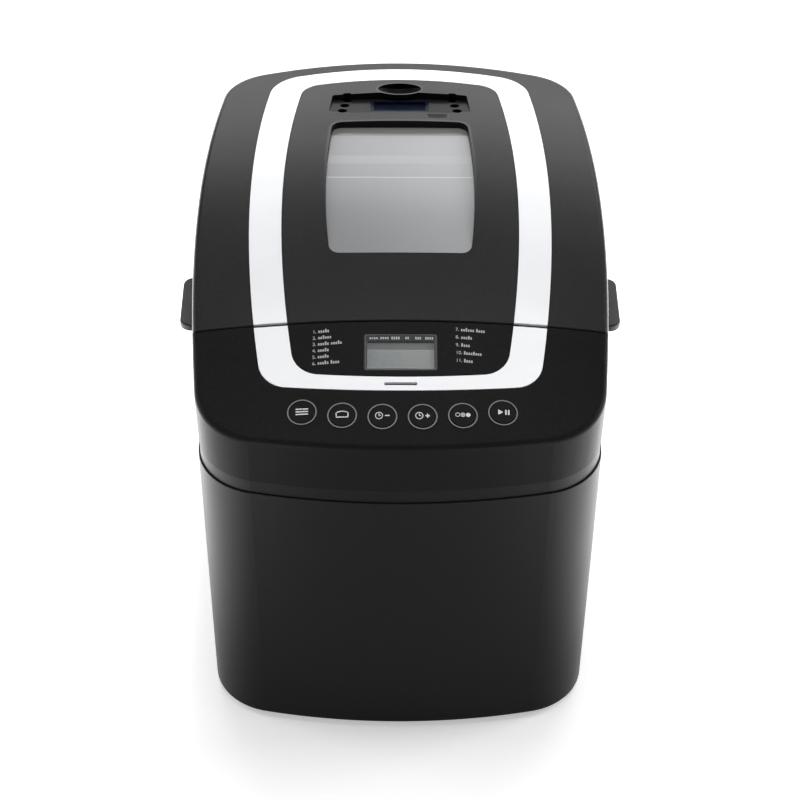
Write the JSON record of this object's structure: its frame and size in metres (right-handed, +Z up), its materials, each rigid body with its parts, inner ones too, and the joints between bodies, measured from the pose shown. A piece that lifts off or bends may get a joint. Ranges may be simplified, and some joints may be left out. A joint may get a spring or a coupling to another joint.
{
  "type": "bread machine",
  "caption": "Free-standing bread machine: drafted black body, sloped control panel, domed rear-hinged lid with window and white band, lift-out pan with kneading paddle.",
  "frame": {"origin": "on the worktop under the feet, at the middle of the overall box", "axes": "+Z up, front with the control panel towards -Y, +X to the right as seen from the front"},
  "size_m": [0.2712, 0.347, 0.2955],
  "materials": {
    "black_housing": "fine satin texture",
    "black_body": "fine satin texture",
    "white_band": "pearl white lacquer",
    "dark_trim": "smooth",
    "button_black": "smooth with pad-printed symbol",
    "ring_silver": "thin bright ring",
    "window": "clear tempered",
    "lens": "clear with dark border",
    "display": "liquid crystal",
    "board_green": "circuit board",
    "vent_blue": "polished dark blue",
    "steel_sheet": "galvanised sheet",
    "steel_bright": "ground",
    "aluminium_sheet": "pressed sheet",
    "cast_alloy": "die cast",
    "nonstick": "non-stick coated, speckled",
    "element": "heat-tinted sheath",
    "bronze": "sintered bush",
    "rubber_black": "matt",
    "silicone": "silicone",
    "belt_rubber": "ribbed belt",
    "motor_steel": "laminated stack",
    "screw_steel": "zinc plated",
    "white_plastic": "heat-resistant"
  },
  "bodies": {
    "housing": {"body_shell": "black_body", "base_tray": "dark_trim", "rubber_feet": "rubber_black", "parting_ring": "black_body", "upper_housing": "black_housing", "panel_band": "white_band", "display_lens": "lens", "display_module": "display", "control_board": "board_green", "button_rings": "ring_silver", "hinge_pins": "steel_bright", "chamber_liner": "aluminium_sheet", "heat_shield": "steel_sheet", "heating_element": "element", "element_clamps": "steel_sheet", "temperature_sensor": "steel_bright", "thermal_fuse": "white_plastic", "pan_clips": "steel_bright", "chassis": "steel_sheet", "bearing_housing": "cast_alloy", "shaft_bushes": "bronze", "drive_belt": "belt_rubber", "motor_body": "motor_steel", "motor_capacitor": "white_plastic", "power_board": "board_green", "cord_gland": "dark_trim", "base_screws": "screw_steel"},
    "lid": {"lid_shell": "black_housing", "lid_band": "white_band", "window_glass": "window", "window_bezel": "dark_trim", "lid_liner": "aluminium_sheet", "inner_glass": "window", "lid_gasket": "silicone", "vent_tray": "black_housing", "vent_insert": "vent_blue", "finger_dish": "dark_trim", "lid_grip_left": "black_housing", "lid_grip_right": "black_housing", "lid_screws": "screw_steel"},
    "pan_unit": {"pan": "nonstick", "pan_seat_ring": "steel_bright", "pan_bush": "bronze", "pan_seal": "silicone"},
    "bail": {"pan_bail": "steel_bright"},
    "pan_drive": {"pan_shaft": "steel_bright", "pan_coupling": "cast_alloy"},
    "paddle": {"kneading_paddle": "nonstick"},
    "drive": {"drive_shaft": "steel_bright", "drive_dog": "cast_alloy", "large_pulley": "white_plastic"},
    "rotor": {"motor_shaft": "steel_bright", "motor_pulley": "steel_bright", "motor_fan": "white_plastic"},
    "button_menu_cap": {"button_menu": "button_black"},
    "button_loaf_cap": {"button_loaf": "button_black"},
    "button_time_down_cap": {"button_time_down": "button_black"},
    "button_time_up_cap": {"button_time_up": "button_black"},
    "button_crust_cap": {"button_crust": "button_black"},
    "button_start_cap": {"button_start": "button_black"}
  },
  "joints": [
    {"name": "lid_hinge", "type": "hinge", "parent": "housing", "child": "lid", "pos_m": [0, 0.169, 0.241], "axis": [-1, 0, 0], "range_deg": [0, 80]},
    {"name": "pan_lift", "type": "slide", "parent": "housing", "child": "pan_unit", "axis": [0, 0, 1], "range_m": [0, 0.03]},
    {"name": "bail_fold", "type": "hinge", "parent": "pan_unit", "child": "bail", "pos_m": [0, 0.03655, 0.216], "axis": [0, -1, 0], "range_deg": [0, 30]},
    {"name": "pan_shaft_spin", "type": "hinge", "parent": "pan_unit", "child": "pan_drive", "pos_m": [0, 0.03655, 0.084], "axis": [0, 0, 1], "continuous": true},
    {"name": "paddle_pull", "type": "slide", "parent": "pan_drive", "child": "paddle", "axis": [0, 0, 1], "range_m": [0, 0.035]},
    {"name": "drive_spin", "type": "hinge", "parent": "housing", "child": "drive", "pos_m": [0, 0.03655, 0.036], "axis": [0, 0, 1], "continuous": true},
    {"name": "motor_spin", "type": "hinge", "parent": "housing", "child": "rotor", "pos_m": [0, -0.123, 0.036], "axis": [0, 0, 1], "continuous": true},
    {"name": "button_menu_press", "type": "slide", "parent": "housing", "child": "button_menu_cap", "axis": [0, 0.304, -0.9527], "range_m": [0, 0.0012], "stiffness_N_per_m": 400},
    {"name": "button_loaf_press", "type": "slide", "parent": "housing", "child": "button_loaf_cap", "axis": [0, 0.304, -0.9527], "range_m": [0, 0.0012], "stiffness_N_per_m": 400},
    {"name": "button_time_down_press", "type": "slide", "parent": "housing", "child": "button_time_down_cap", "axis": [0, 0.304, -0.9527], "range_m": [0, 0.0012], "stiffness_N_per_m": 400},
    {"name": "button_time_up_press", "type": "slide", "parent": "housing", "child": "button_time_up_cap", "axis": [0, 0.304, -0.9527], "range_m": [0, 0.0012], "stiffness_N_per_m": 400},
    {"name": "button_crust_press", "type": "slide", "parent": "housing", "child": "button_crust_cap", "axis": [0, 0.304, -0.9527], "range_m": [0, 0.0012], "stiffness_N_per_m": 400},
    {"name": "button_start_press", "type": "slide", "parent": "housing", "child": "button_start_cap", "axis": [0, 0.304, -0.9527], "range_m": [0, 0.0012], "stiffness_N_per_m": 400}
  ],
  "couplings": [
    {"joint": "pan_shaft_spin", "follows": "drive_spin", "ratio": 1},
    {"joint": "motor_spin", "follows": "drive_spin", "ratio": 5.3333}
  ]
}
